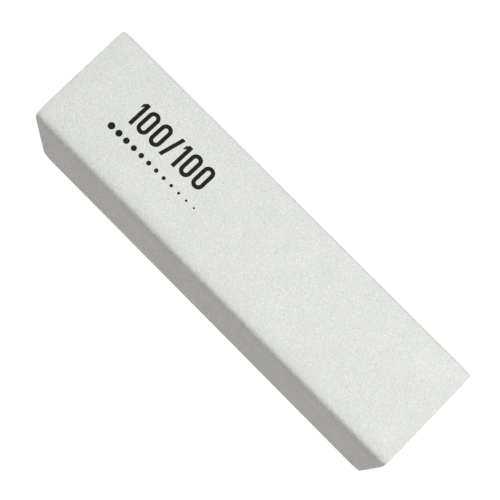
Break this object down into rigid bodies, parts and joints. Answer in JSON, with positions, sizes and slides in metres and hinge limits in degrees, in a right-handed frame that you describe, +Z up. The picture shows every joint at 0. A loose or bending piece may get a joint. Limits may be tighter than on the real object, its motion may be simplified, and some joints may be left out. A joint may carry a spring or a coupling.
{
  "type": "nail buffer block",
  "caption": "Rectangular nail buffer block: a foam core wrapped on its long sides in a white coated abrasive sheet, with bare foam ends and a printed grit number.",
  "frame": {"origin": "middle of the long face it rests on, on that face", "axes": "+X along the block, with the printed number at the -X end and reading towards +X; +Y across the block, away from the side nearest the reader; +Z up, out of the printed face"},
  "size_m": [0.095, 0.025, 0.025],
  "materials": {
    "foam": "white closed-cell foam, cut ends showing fine cells",
    "glue": "dried contact glue, slightly yellow",
    "backing": "off-white latex-treated paper",
    "bond": "cured clear resin over the paper",
    "grit": "fine white aluminium oxide grains set in resin",
    "stearate": "dry, chalky off-white coat, faintly speckled by the grains under it",
    "ink": "black printing ink, broken up by the grit"
  },
  "bodies": {
    "root": {"foam_core": "foam", "glue_film": "glue", "backing_sheet": "backing", "bond_coat": "bond", "grit_coat": "grit", "stearate_coat": "stearate", "printed_grit_number": "ink", "printed_dot_row": "ink"}
  },
  "joints": []
}
